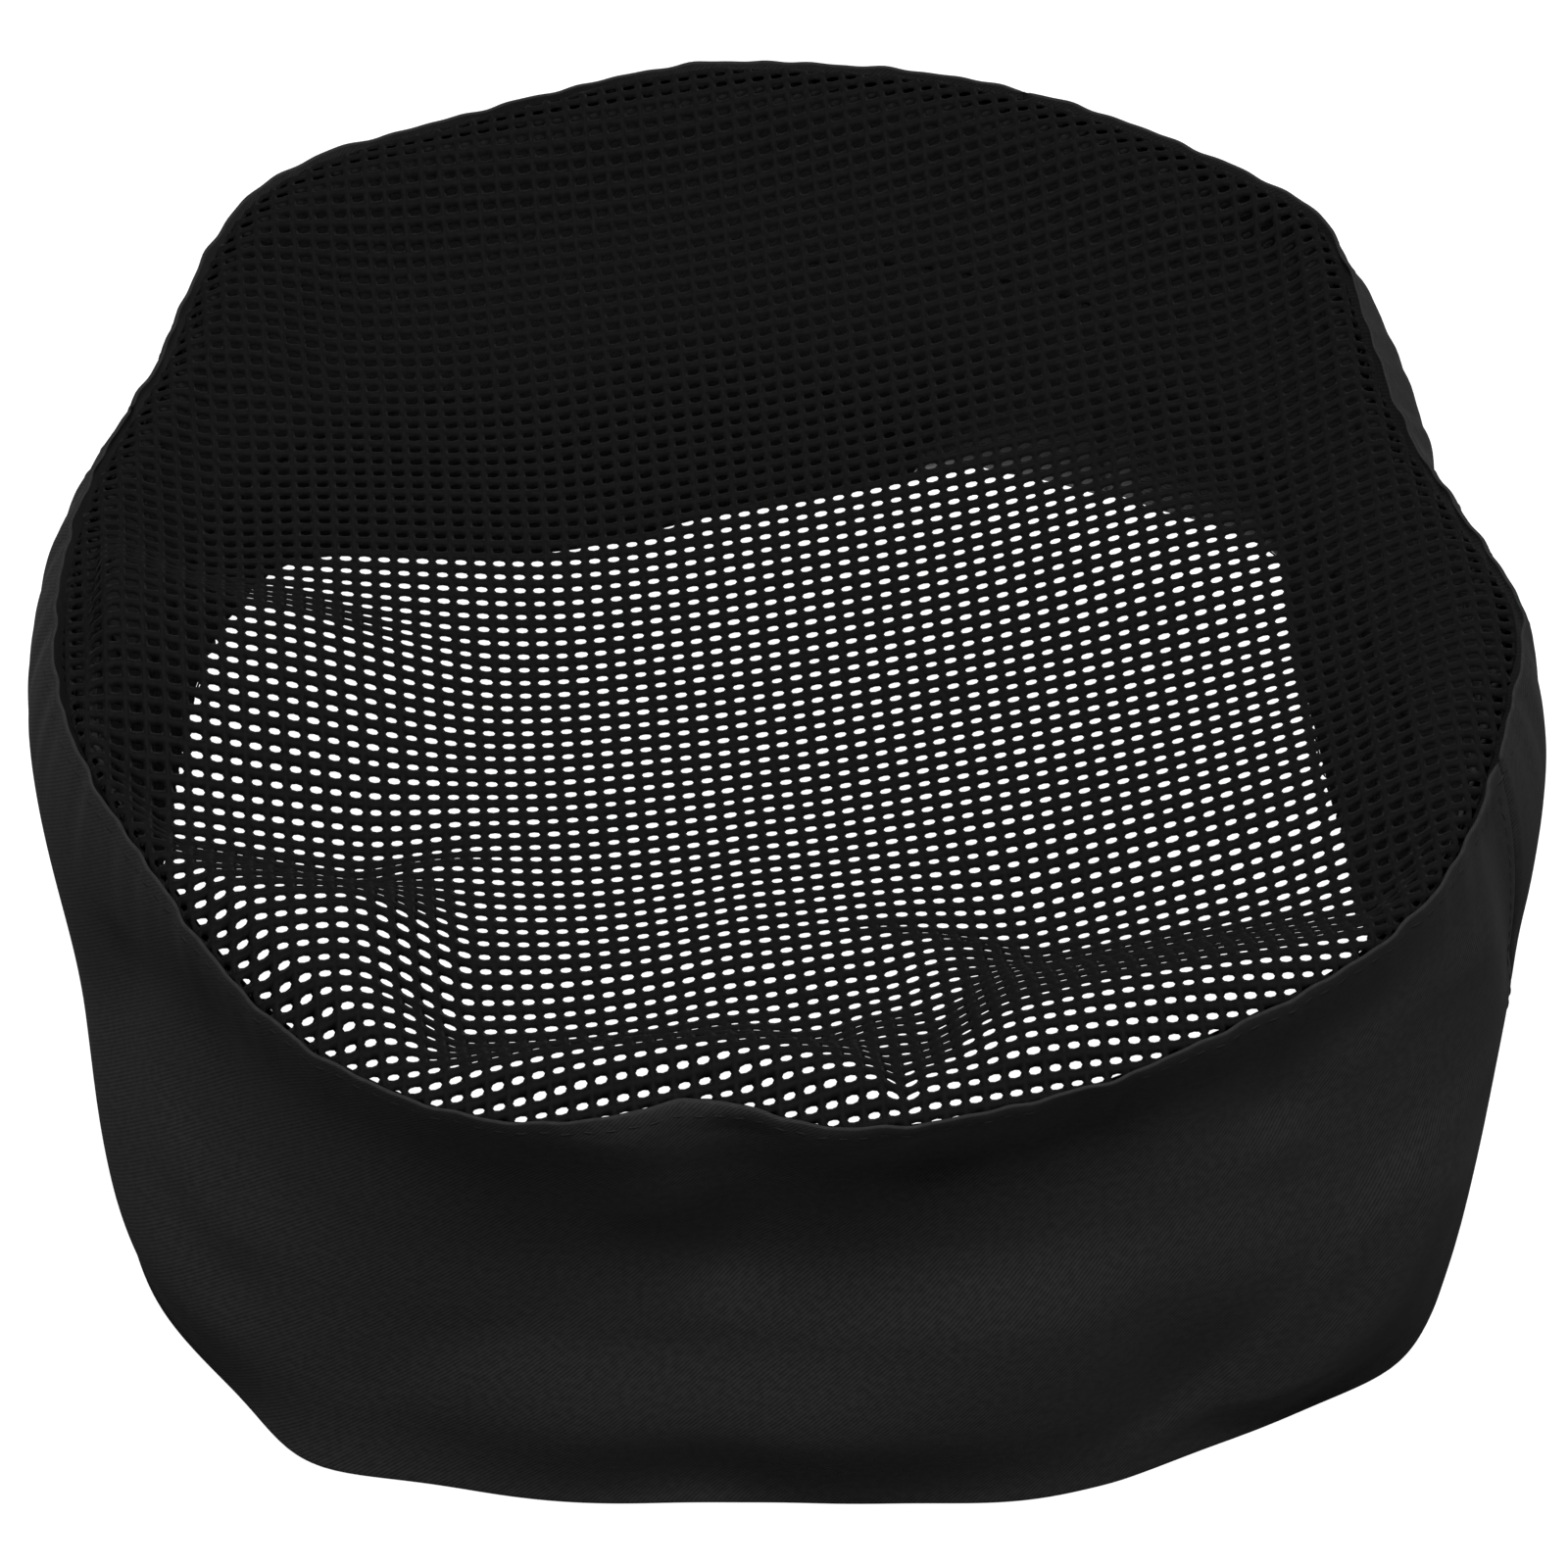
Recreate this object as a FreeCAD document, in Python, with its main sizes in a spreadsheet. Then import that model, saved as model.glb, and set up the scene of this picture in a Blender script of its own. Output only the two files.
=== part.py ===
import FreeCAD, Part
import math
import os

import Sketcher

# Chef's skull cap: a twill band folded double at the hem, a round mesh crown sewn into its
# top edge, a sweatband inside, and a hook-and-loop tab that closes the slit at the centre back.
#
# The frame: +Z is up, the hem rests on z = 0, the front of the cap faces -Y, and the origin is
# the centre of the head opening. Millimetres. Azimuths are in degrees, anticlockwise from +X
# seen from above, so the centre back is at 90 and the side seams are at 0 and 180.
#
# The band is a cone, a little wider at the crown seam than at the hem. Every strip that lies on
# it is placed by an offset from the band's outer face and a height above the hem.

SIZES = {
    # the band
    "band_height": 88.0,
    "hem_radius": 99.0,
    "crown_radius": 102.0,
    "twill": 0.55,  # thickness of one layer of twill
    "leaf_gap": 0.3,  # air between the band's outer and inner layers
    "ease": 0.1,  # clearance between pieces that lie on each other
    "panel_gap": 0.3,  # degrees left open where two band panels meet
    # the crown
    "knit": 0.8,  # thickness of the mesh
    "crown_dip": 14.0,  # how far the middle of the crown hangs below its seam
    "allowance": 8.0,  # seam allowance turned down inside the band
    "binding": 0.4,  # thickness of the tape that binds the raw edge
    "binding_height": 6.0,
    # the closure at the centre back
    "back_azimuth": 90.0,
    "hook": 0.5,  # thickness of the hook tape
    "loop": 0.5,  # thickness of the loop tape
    "flap": 1.1,  # two layers of twill
    "tab_root_azimuth": 97.0,
    "tab_sweep": 35.0,
    "tab_low": 4.0,
    "tab_high": 38.0,
    "tab_corner": 7.0,
    "root_gap": 0.42,  # degrees between the sewn root and the free tab
    "root_sweep": 9.5,
    "tape_margin": 4.0,
    "loop_start_azimuth": 60.0,
    "loop_sweep": 24.0,
    "hook_start_azimuth": 64.5,
    "hook_sweep": 17.0,
    "fly_start_azimuth": 82.0,
    "fly_sweep": 27.0,
    "fly_low": 0.6,
    "fly_high": 49.0,
    "fly_corner": 10.0,
    # the sweatband and the label
    "terry": 1.2,
    "sweatband_low": 1.5,
    "sweatband_high": 36.0,
    "sweatband_azimuth": 111.0,
    "sweatband_sweep": 329.0,
    "label_thickness": 0.25,
    "label_low": 42.0,
    "label_high": 68.0,
    "label_azimuth": 174.0,
    "label_sweep": 12.0,
    # sewing thread
    "thread": 0.25,  # radius
    "lift": 0.03,  # clearance between a row of stitches and the cloth it lies on
    "edge_stitch_height": 86.0,
    "row_end": 1.0,  # left bare at the end of a row, in mm or degrees
    "thread_end": 1.0,  # from the end of an upright row to the row that crosses it
    "binding_row_inset": 0.75,  # from the binding's edge to its stitches
    "seam_inset": 1.2,  # degrees from a panel's edge to the stitches beside it
    "box_clear": 0.6,  # degrees between the sides of a box of stitches
    "box_turn": 1.5,  # degrees from a patch's end to its stitches
    "box_inset": 1.5,  # from a patch's long edge to its stitches
    "root_inset": 2.0,
    "label_inset": 1.5,
    "bartack_length": 9.0,
    "bartack_width": 1.6,
    "bartack_height": 46.0,
    "bartack_clear": 0.25,
}

FULL_TURN = "360"
SAME_ANGLE = math.radians(0.05)  # how near an edge is to a plane or a height to count as on it
SAME_HEIGHT = 0.2
doc = FreeCAD.newDocument("chef_skull_cap")
sheet = doc.addObject("Spreadsheet::Sheet", "sizes")
nodes = []


def fill_sheet():
    """Writes the driving dimensions as plain numbers, one aliased cell for each."""
    for row, (name, value) in enumerate(SIZES.items(), start=1):
        sheet.set(f"A{row}", name)
        sheet.set(f"B{row}", str(value))
        sheet.setAlias(f"B{row}", name)
    doc.recompute()


def bound(expression):
    """The expression with each driving dimension read from the sheet."""
    words = expression.replace("(", " ( ").replace(")", " ) ").split()
    return " ".join(f"sizes.{word}" if word in SIZES else word for word in words)


def value(expression):
    """What an expression of the driving dimensions comes to, as a plain number."""
    return float(sheet.evalExpression(bound(expression)))


def cone(offset, height):
    """Radius of the surface that lies this far outside the band's outer face, at a height."""
    slope = "( crown_radius - hem_radius ) / band_height"
    return f"hem_radius + {slope} * ( {height} ) + ( {offset} )"


def plane_of(body, role):
    return next(f for f in body.Origin.OriginFeatures if f.Role == role)


def pin_point(sketch, geometry, end, radius, height):
    """Holds one sketch point at a radius and a height, each bound to the sheet."""
    if radius == "0":
        sketch.addConstraint(Sketcher.Constraint("PointOnObject", geometry, end, -2))
    else:
        number = sketch.addConstraint(
            Sketcher.Constraint("DistanceX", -1, 1, geometry, end, value(radius))
        )
        sketch.setExpression(f"Constraints[{number}]", bound(radius))
    if height == "0":
        sketch.addConstraint(Sketcher.Constraint("PointOnObject", geometry, end, -1))
    else:
        number = sketch.addConstraint(
            Sketcher.Constraint("DistanceY", -1, 1, geometry, end, value(height))
        )
        sketch.setExpression(f"Constraints[{number}]", bound(height))


def section_sketch(body, corners):
    """A closed outline on the XZ plane through (radius, height) corners."""
    sketch = body.newObject("Sketcher::SketchObject", f"{body.Label}_section")
    sketch.AttachmentSupport = [(plane_of(body, "XZ_Plane"), "")]
    sketch.MapMode = "FlatFace"
    points = [FreeCAD.Vector(value(r), value(z), 0) for r, z in corners]
    for i, start in enumerate(points):
        sketch.addGeometry(Part.LineSegment(start, points[(i + 1) % len(points)]))
    for i in range(len(points)):
        following = (i + 1) % len(points)
        sketch.addConstraint(Sketcher.Constraint("Coincident", i, 2, following, 1))
    for i, (radius, height) in enumerate(corners):
        pin_point(sketch, i, 1, radius, height)
    return sketch


def revolve(body, sketch, sweep, azimuth):
    """Turns the section about +Z through sweep degrees, starting at an azimuth."""
    turn = body.newObject("PartDesign::Revolution", f"{body.Label}_turn")
    turn.Profile = sketch
    turn.ReferenceAxis = (sketch, ["V_Axis"])
    turn.setExpression("Angle", bound(sweep))
    body.Placement = FreeCAD.Placement(
        FreeCAD.Vector(), FreeCAD.Rotation(FreeCAD.Vector(0, 0, 1), value(azimuth))
    )
    body.setExpression("Placement.Rotation.Angle", f"( {bound(azimuth)} ) * 1 deg")
    doc.recompute()
    return turn


def new_body(label):
    body = doc.addObject("PartDesign::Body", label)
    body.Label = label
    nodes.append(body)
    return body


def strip(label, inner, thickness, low, high, sweep, azimuth):
    """A flat strip of cloth or tape bent round the band's cone, as one body.

    inner is the offset of its inner face from the band's outer face.
    """
    outer = f"{inner} + {thickness}"
    corners = [
        (cone(inner, low), low),
        (cone(outer, low), low),
        (cone(outer, high), high),
        (cone(inner, high), high),
    ]
    body = new_body(label)
    revolve(body, section_sketch(body, corners), sweep, azimuth)
    return body


def round_free_corners(body, radius, azimuth, heights):
    """Rounds the corners at one end of a strip, at the given heights."""
    base = body.Tip
    turn = math.radians(value(azimuth) - value_of_turn(body))
    end = FreeCAD.Vector(math.cos(turn), math.sin(turn), 0)
    names = []
    for number, edge in enumerate(base.Shape.Edges, start=1):
        middle = edge.valueAt((edge.FirstParameter + edge.LastParameter) / 2)
        along = FreeCAD.Vector(middle.x, middle.y, 0).normalize()
        near_end = along.getAngle(end) < SAME_ANGLE
        short = edge.Length < 2 * value("flap")
        level = any(abs(middle.z - value(height)) < SAME_HEIGHT for height in heights)
        if near_end and short and level:
            names.append(f"Edge{number}")
    fillet = body.newObject("PartDesign::Fillet", f"{body.Label}_corners")
    fillet.Base = (base, names)
    fillet.setExpression("Radius", bound(radius))
    body.Tip = fillet
    doc.recompute()
    return len(names)


def value_of_turn(body):
    """The azimuth at which a body's own section plane stands, in degrees."""
    turn = body.Placement.Rotation
    return math.degrees(turn.Angle) * (1 if turn.Axis.z > 0 else -1)


def band_panel(label, sweep, azimuth):
    """One panel of the band: outer layer, fold at the hem, inner layer, in one piece."""
    inner_leaf = "0 - twill - leaf_gap"
    back = "0 - 2 * twill - leaf_gap"
    corners = [
        (cone("0", "0"), "0"),
        (cone("0", "band_height"), "band_height"),
        (cone("0 - twill", "band_height"), "band_height"),
        (cone("0 - twill", "twill"), "twill"),
        (cone(inner_leaf, "twill"), "twill"),
        (cone(inner_leaf, "band_height"), "band_height"),
        (cone(back, "band_height"), "band_height"),
        (cone(back, "0"), "0"),
    ]
    body = new_body(label)
    revolve(body, section_sketch(body, corners), sweep, azimuth)


def crown_panel():
    """The mesh crown: a shallow dish with its seam allowance turned down inside the band."""
    rim = cone("0 - 2 * twill - leaf_gap - ease", "band_height")
    inner_rim = cone("0 - 2 * twill - leaf_gap - ease - knit", "band_height")
    foot = "band_height - allowance"
    foot_outer = cone("0 - 2 * twill - leaf_gap - ease", foot)
    foot_inner = cone("0 - 2 * twill - leaf_gap - ease - knit", foot)
    top = "band_height"
    under = "band_height - knit"
    middle = "band_height - crown_dip"
    middle_under = "band_height - crown_dip - knit"

    body = new_body("crown_mesh")
    sketch = body.newObject("Sketcher::SketchObject", "crown_section")
    sketch.AttachmentSupport = [(plane_of(body, "XZ_Plane"), "")]
    sketch.MapMode = "FlatFace"

    def dish(rim_radius, rim_height, middle_height):
        """The arc from the rim to the axis, with its centre on the axis."""
        dip = value(rim_height) - value(middle_height)
        reach = value(rim_radius)
        radius = (reach**2 + dip**2) / (2 * dip)
        centre = FreeCAD.Vector(0, value(middle_height) + radius, 0)
        circle = Part.Circle(centre, FreeCAD.Vector(0, 0, 1), radius)
        edge_angle = -math.asin(reach / radius)
        return Part.ArcOfCircle(circle, -math.pi / 2, -math.pi / 2 - edge_angle)

    def line(start, end):
        a = FreeCAD.Vector(value(start[0]), value(start[1]), 0)
        b = FreeCAD.Vector(value(end[0]), value(end[1]), 0)
        return Part.LineSegment(a, b)

    sketch.addGeometry(dish(rim, top, middle))
    sketch.addGeometry(line((rim, top), (foot_outer, foot)))
    sketch.addGeometry(line((foot_outer, foot), (foot_inner, foot)))
    sketch.addGeometry(line((foot_inner, foot), (inner_rim, under)))
    sketch.addGeometry(dish(inner_rim, under, middle_under))
    sketch.addGeometry(line(("0", middle_under), ("0", middle)))
    for first, first_end, second, second_end in (
        (0, 2, 1, 1),
        (1, 2, 2, 1),
        (2, 2, 3, 1),
        (3, 2, 4, 2),
        (4, 1, 5, 1),
        (5, 2, 0, 1),
    ):
        sketch.addConstraint(
            Sketcher.Constraint("Coincident", first, first_end, second, second_end)
        )
    for arc in (0, 4):
        sketch.addConstraint(Sketcher.Constraint("PointOnObject", arc, 3, -2))
    pin_point(sketch, 1, 1, rim, top)
    pin_point(sketch, 1, 2, foot_outer, foot)
    pin_point(sketch, 2, 2, foot_inner, foot)
    pin_point(sketch, 3, 2, inner_rim, under)
    pin_point(sketch, 5, 1, "0", middle_under)
    pin_point(sketch, 5, 2, "0", middle)
    revolve(body, sketch, FULL_TURN, "0")


def seam_binding():
    """Bias tape folded over the raw edge of the crown's seam allowance."""
    inside_band = "0 - 2 * twill - leaf_gap"
    raw_outer = f"{inside_band} - ease"
    raw_inner = f"{inside_band} - ease - knit"
    foot = "band_height - allowance"
    low = f"{foot} - ease - binding"
    groove = f"{foot} - ease"
    high = f"{groove} + binding_height"
    corners = [
        (cone(f"{raw_outer}", low), low),
        (cone(f"{raw_outer}", groove), groove),
        (cone(f"{raw_inner} - ease", groove), groove),
        (cone(f"{raw_inner} - ease", high), high),
        (cone(f"{raw_inner} - ease - binding", high), high),
        (cone(f"{raw_inner} - ease - binding", low), low),
    ]
    body = new_body("seam_binding")
    revolve(body, section_sketch(body, corners), FULL_TURN, "0")


def ring_thread(label, offset, height, sweep, azimuth):
    """A line of stitching that runs level round the cone, as one closed bead of thread."""
    bead = doc.addObject("Part::Torus", label)
    bead.Label = label
    bead.setExpression("Radius1", bound(cone(offset, height)))
    bead.setExpression("Radius2", bound("thread"))
    bead.setExpression("Angle3", bound(sweep))
    turn = FreeCAD.Rotation(FreeCAD.Vector(0, 0, 1), value(azimuth))
    bead.Placement = FreeCAD.Placement(FreeCAD.Vector(0, 0, value(height)), turn)
    bead.setExpression("Placement.Base.z", bound(height))
    return bead


def upright_thread(label, offset, azimuth, low, high):
    """A line of stitching that climbs the cone at one azimuth."""
    turn = math.radians(value(azimuth))
    foot, head = (
        FreeCAD.Vector(
            value(cone(offset, z)) * math.cos(turn),
            value(cone(offset, z)) * math.sin(turn),
            value(z),
        )
        for z in (low, high)
    )
    bead = doc.addObject("Part::Cylinder", label)
    bead.Label = label
    bead.setExpression("Radius", bound("thread"))
    rise = f"( {high} ) - ( {low} )"
    run = f"( crown_radius - hem_radius ) / band_height * ( {rise} )"
    bead.setExpression("Height", f"sqrt( ( {bound(rise)} ) ^ 2 + ( {bound(run)} ) ^ 2 )")
    lean = FreeCAD.Rotation(FreeCAD.Vector(0, 0, 1), head - foot)
    bead.Placement = FreeCAD.Placement(foot, lean)
    return bead


def grouped(label, members):
    """Several lines of the same stitching, kept as separate solids in one node."""
    group = doc.addObject("Part::Compound", label)
    group.Label = label
    group.Links = members
    nodes.append(group)


def box_stitch(label, offset, low, high, azimuth, sweep):
    """Stitching round the four sides of a patch, clear of itself at the corners."""
    rows = [
        ring_thread(
            f"{label}_row_{i}",
            offset,
            z,
            f"{sweep} - 2 * box_clear",
            f"{azimuth} + box_clear",
        )
        for i, z in enumerate((low, high))
    ]
    columns = [
        upright_thread(
            f"{label}_column_{i}", offset, a, f"{low} + thread_end", f"{high} - thread_end"
        )
        for i, a in enumerate((azimuth, f"{azimuth} + {sweep}"))
    ]
    grouped(label, rows + columns)


def build_band():
    band_panel("front_band", "180 - panel_gap", "180 + panel_gap / 2")
    band_panel("back_band_left", "90 - panel_gap", "back_azimuth + panel_gap / 2")
    band_panel("back_band_right", "90 - panel_gap", "panel_gap / 2")


def build_closure():
    """The slit's fly behind, the loop tape beside it and the hook tab across it."""
    inside = "0 - 2 * twill - leaf_gap - ease - flap"
    fly = strip("fly_flap", inside, "flap", "fly_low", "fly_high", "fly_sweep", "fly_start_azimuth")
    found = round_free_corners(fly, "fly_corner", "fly_start_azimuth + fly_sweep", ["fly_low"])
    assert found == 1, "the fly's free lower corner wasn't found"

    tape_low, tape_high = "tab_low + tape_margin", "tab_high - tape_margin"
    strip(
        "loop_tape", "ease", "loop", tape_low, tape_high, "loop_sweep", "loop_start_azimuth"
    )
    hook_at = "ease + loop + ease"
    strip("hook_tape", hook_at, "hook", tape_low, tape_high, "hook_sweep", "hook_start_azimuth")

    tab_at = f"{hook_at} + hook + ease"
    tab_start = "tab_root_azimuth - tab_sweep"
    tab = strip("closure_tab", tab_at, "flap", "tab_low", "tab_high", "tab_sweep", tab_start)
    found = round_free_corners(tab, "tab_corner", tab_start, ["tab_low", "tab_high"])
    assert found == 2, "the tab's two free corners weren't found"
    strip(
        "closure_tab_root",
        "ease",
        f"{tab_at} + flap - ease",
        "tab_low",
        "tab_high",
        "root_sweep",
        "tab_root_azimuth + root_gap",
    )


def build_inside():
    """The sweatband, sewn in along its foot and hanging plumb, and a blank label."""
    inside = "0 - 2 * twill - leaf_gap - ease"
    wall = cone(inside, "sweatband_low")
    plumb = [
        (f"{wall} - terry", "sweatband_low"),
        (wall, "sweatband_low"),
        (wall, "sweatband_high"),
        (f"{wall} - terry", "sweatband_high"),
    ]
    sweatband = new_body("sweatband")
    revolve(
        sweatband, section_sketch(sweatband, plumb), "sweatband_sweep", "sweatband_azimuth"
    )
    strip(
        "care_label",
        f"{inside} - label_thickness",
        "label_thickness",
        "label_low",
        "label_high",
        "label_sweep",
        "label_azimuth",
    )


def build_stitching():
    on_band = "thread + lift"
    inside = "0 - 2 * twill - leaf_gap - ease"

    nodes.append(
        ring_thread("edge_stitch_thread", on_band, "edge_stitch_height", FULL_TURN, "0")
    )
    on_binding = f"{inside} - knit - ease - binding - thread - lift"
    binding_row = "band_height - allowance + binding_height - binding_row_inset"
    nodes.append(ring_thread("binding_thread", on_binding, binding_row, FULL_TURN, "0"))
    for side, azimuth in (("right", "0"), ("left", "180")):
        nodes.append(
            upright_thread(
                f"side_seam_thread_{side}",
                on_band,
                f"{azimuth} - seam_inset",
                "row_end",
                "edge_stitch_height - thread_end",
            )
        )
    nodes.append(
        upright_thread(
            "centre_back_thread",
            on_band,
            "back_azimuth + seam_inset",
            "bartack_height + bartack_width + row_end",
            "edge_stitch_height - thread_end",
        )
    )
    under_terry = f"{inside} - terry / 2"
    nodes.append(
        ring_thread(
            "sweatband_thread",
            under_terry,
            "sweatband_low - ease - thread",
            "sweatband_sweep - 2 * row_end",
            "sweatband_azimuth + row_end",
        )
    )
    on_label = f"{inside} - label_thickness - thread - lift"
    nodes.append(
        ring_thread(
            "label_thread",
            on_label,
            "label_high - label_inset",
            "label_sweep - row_end",
            "label_azimuth + row_end / 2",
        )
    )
    on_root = "ease + loop + ease + hook + ease + flap + thread + lift"
    box_stitch(
        "tab_root_thread",
        on_root,
        "tab_low + root_inset",
        "tab_high - root_inset",
        "tab_root_azimuth + root_gap + box_turn",
        "root_sweep - 2 * box_turn",
    )
    box_stitch(
        "hook_tape_thread",
        on_root,
        "tab_low + tape_margin + box_inset",
        "tab_high - tape_margin - box_inset",
        "hook_start_azimuth + row_end",
        "hook_sweep - 2 * row_end",
    )


def bartack():
    """A dense bar of zigzag stitching that stops the slit from tearing further up."""
    bar = doc.addObject("Part::Box", "slit_bartack")
    bar.Label = "slit_bartack"
    bar.setExpression("Length", bound("bartack_length"))
    bar.setExpression("Width", bound("2 * thread"))
    bar.setExpression("Height", bound("bartack_width"))
    reach = value(cone("bartack_clear", "bartack_height + bartack_width"))
    corner = FreeCAD.Vector(-value("bartack_length") / 2, reach, value("bartack_height"))
    bar.Placement = FreeCAD.Placement(corner, FreeCAD.Rotation())
    nodes.append(bar)


def check():
    """Stops the build if any object failed, or any piece is null, invalid or not solid."""
    doc.recompute()
    for thing in doc.Objects:
        if any(word in thing.State for word in ("Invalid", "Error")):
            raise SystemExit(f"{thing.Label} is in state {thing.State}")
    for node in nodes:
        if node.Shape.isNull() or not node.Shape.isValid() or not node.Shape.Solids:
            raise SystemExit(f"{node.Label} has no valid solid")


def export():
    os.makedirs("parts", exist_ok=True)
    for node in nodes:
        node.Shape.exportStep(f"parts/{node.Label}.step")
        box = node.Shape.BoundBox
        print(f"{node.Label:22s} {box.XLength:7.1f} {box.YLength:7.1f} {box.ZLength:7.1f}")


fill_sheet()
build_band()
crown_panel()
seam_binding()
build_closure()
build_inside()
build_stitching()
bartack()
check()
export()
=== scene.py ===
"""A black chef's skull cap: a soft twill band, a see-through mesh crown and a back closure.

The row frame: +Z up, the hem on z = 0, the front of the cap towards -Y, metres. Lengths in
this script are millimetres until a mesh is made, and azimuths are degrees anticlockwise from
+X, so the side seams are at 0 and 180, the closure at 90 and the middle of the front at 270.
"""

import math

import bpy
import numpy as np
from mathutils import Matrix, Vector


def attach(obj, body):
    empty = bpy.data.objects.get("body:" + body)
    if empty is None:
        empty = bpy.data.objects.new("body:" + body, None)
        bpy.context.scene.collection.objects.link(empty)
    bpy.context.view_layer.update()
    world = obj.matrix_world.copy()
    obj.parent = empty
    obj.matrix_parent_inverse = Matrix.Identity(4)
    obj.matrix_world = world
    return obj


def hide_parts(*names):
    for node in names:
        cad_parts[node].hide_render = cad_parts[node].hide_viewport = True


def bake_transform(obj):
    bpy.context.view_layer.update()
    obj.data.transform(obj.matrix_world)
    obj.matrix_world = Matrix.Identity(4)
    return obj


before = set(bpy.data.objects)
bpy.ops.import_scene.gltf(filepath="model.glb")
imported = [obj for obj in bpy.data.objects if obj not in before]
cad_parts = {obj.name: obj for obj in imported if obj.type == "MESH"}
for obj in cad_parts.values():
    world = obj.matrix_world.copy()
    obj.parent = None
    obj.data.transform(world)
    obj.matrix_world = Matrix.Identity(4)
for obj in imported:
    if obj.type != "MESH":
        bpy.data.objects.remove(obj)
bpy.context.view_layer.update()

MM = 0.001

# ---------------------------------------------------------------- sizes, in millimetres
SEAM_HEIGHT = 88.0
CLOTH = 1.5  # the band's doubled cloth
ROLL = 0.75  # how tightly the cloth turns over at the hem and at the crown seam
CROWN_INSET = 1.5  # the net comes up this far inside the band's outer face
CROWN_SAG = 16.0
COLUMN_PITCH = 2.68  # the net's holes, side to side
ROW_PITCH = 2.47  # and front to back
HOLE_WIDTH = 1.65
HOLE_LENGTH = 0.92
HOLE_CORNER = 0.74  # how far the holes' corners stand out, as a share of their half sizes
HOLE_SPREAD = 0.05  # how much the holes differ in size, as a share
CLOSED_WIDTH, CLOSED_LENGTH = 0.45, 0.85  # the share of a hole lost where the net falls away
NET_THICKNESS = 0.75
NET_ALLOWANCE = 6.0
EDGE_ROLL = 0.9  # how tightly the net turns down at its edge
NET_SINK = 1.1  # in front the net's edge lies this far below the band's
PRESSED = 0.6  # how much thinner the doubled cloth is at the crown seam, as a share
PRESSED_FROM = 0.93  # the height where it starts to thin, as a share of the band's
TURN_IN = 0.9  # the width over which a panel turns in at its end seam
TWILL_PITCH = 0.52
MEAN_RADIUS = 102.0
FOLD_GIRTH = 1.78  # mm of band to a degree, used to measure round the cap
FRONT = 290.0  # azimuth of the middle of the view of the front
GRAIN = 20.0  # azimuth that the net's rows run along

# ---------------------------------------------------------------- the cap's plan shape
# (azimuth, radius) round the cap at four heights. It stands slumped into a rounded square,
# squarest at the hem.
HEM_RING = [
    (0, 100), (10, 93.5), (20, 89), (33, 88.5), (46, 92.5), (56, 100.5), (66, 115.5), (78, 108.5),
    (92, 107.5), (102, 102), (110, 98.7), (123, 95), (130, 94), (138, 98.7), (145, 106),
    (152, 118), (160, 114.5), (168, 108.5), (175, 103.5), (185, 97.5), (200, 97), (215, 99.5),
    (234, 107.5), (246, 108), (250, 110.5), (253, 112), (257, 108), (262, 104), (272, 100),
    (282, 96), (290, 95), (301, 97), (310, 101), (318, 103), (325, 104), (333, 107), (341, 113),
    (345, 111), (350, 109),
]  # fmt: skip
MIDDLE_RING = [
    (1, 107.5), (15, 101.5), (30, 97), (45, 96), (60, 103), (75, 105), (90, 104.5), (105, 102.5),
    (120, 101), (135, 102), (150, 107), (165, 106), (180, 101.5), (195, 101.5), (210, 102.5),
    (225, 106.5), (240, 106.5), (255, 105), (270, 99.5), (285, 95.5), (300, 95.5), (315, 100),
    (330, 106), (345, 111), (353, 112),
]  # fmt: skip
SHOULDER_RING = [
    (0, 107), (15, 107.5), (28, 100), (38, 96), (48, 100.5), (60, 107), (75, 105.5), (90, 105),
    (105, 104.5), (120, 105), (135, 105), (150, 108.5), (165, 105), (180, 102.5),
    (195, 105), (210, 106), (225, 105), (240, 105.5), (255, 109), (270, 107),
    (285, 103), (300, 103.5), (315, 104), (330, 105.5), (345, 107.5),
]  # fmt: skip
SEAM_RING = [
    (0, 103.5), (8, 102.8), (16, 103.5), (26, 97.3), (37, 93.8), (44, 94.6), (51, 97.6), (57, 102),
    (63, 107), (69, 104.8), (78, 103.7), (98, 103.5), (108, 103.2), (117, 104.5), (125, 103),
    (133, 102.8), (142, 104.5), (148, 108), (156, 109), (165, 103.5), (174, 98.5), (182, 98.8),
    (192, 100), (202, 101), (212, 102.5), (224, 102), (232, 101.3), (238, 102.8),
    (244, 104.5), (250, 106.5), (257, 107.5), (267, 107), (274, 104), (282, 100.5), (297, 101),
    (309, 100.5), (316, 102), (322, 101.5), (330, 103), (340, 105.5), (346, 106), (352, 105),
]  # fmt: skip
RING_HEIGHTS = [0.0, 0.5, 0.86, 1.0]  # as fractions of the band's height


def ring(pairs, softness=2.6):
    """A smooth closed curve through (azimuth, value) pairs, as a function of azimuth."""
    degrees = np.arange(360.0)
    flat = np.interp(degrees, *np.transpose(pairs), period=360.0)
    gap = np.minimum(degrees, 360.0 - degrees)
    kernel = np.exp(-0.5 * (gap / softness) ** 2)
    soft = np.real(np.fft.ifft(np.fft.fft(flat) * np.fft.fft(kernel / kernel.sum())))
    soft = np.append(soft, soft[0])
    return lambda a: np.interp(np.mod(a, 360.0), np.arange(361.0), soft)


def turn_from(a, centre):
    """Signed degrees from centre to a, the short way round."""
    return np.mod(np.asarray(a, float) - centre + 180.0, 360.0) - 180.0


def bell(x, width):
    """1 at 0, falling smoothly to nothing a few widths away."""
    return np.exp(-0.5 * (x / width) ** 2)


RINGS = [
    ring(HEM_RING),
    ring(MIDDLE_RING, softness=6.0),
    ring(SHOULDER_RING, softness=6.0),
    ring(SEAM_RING),
]

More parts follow.
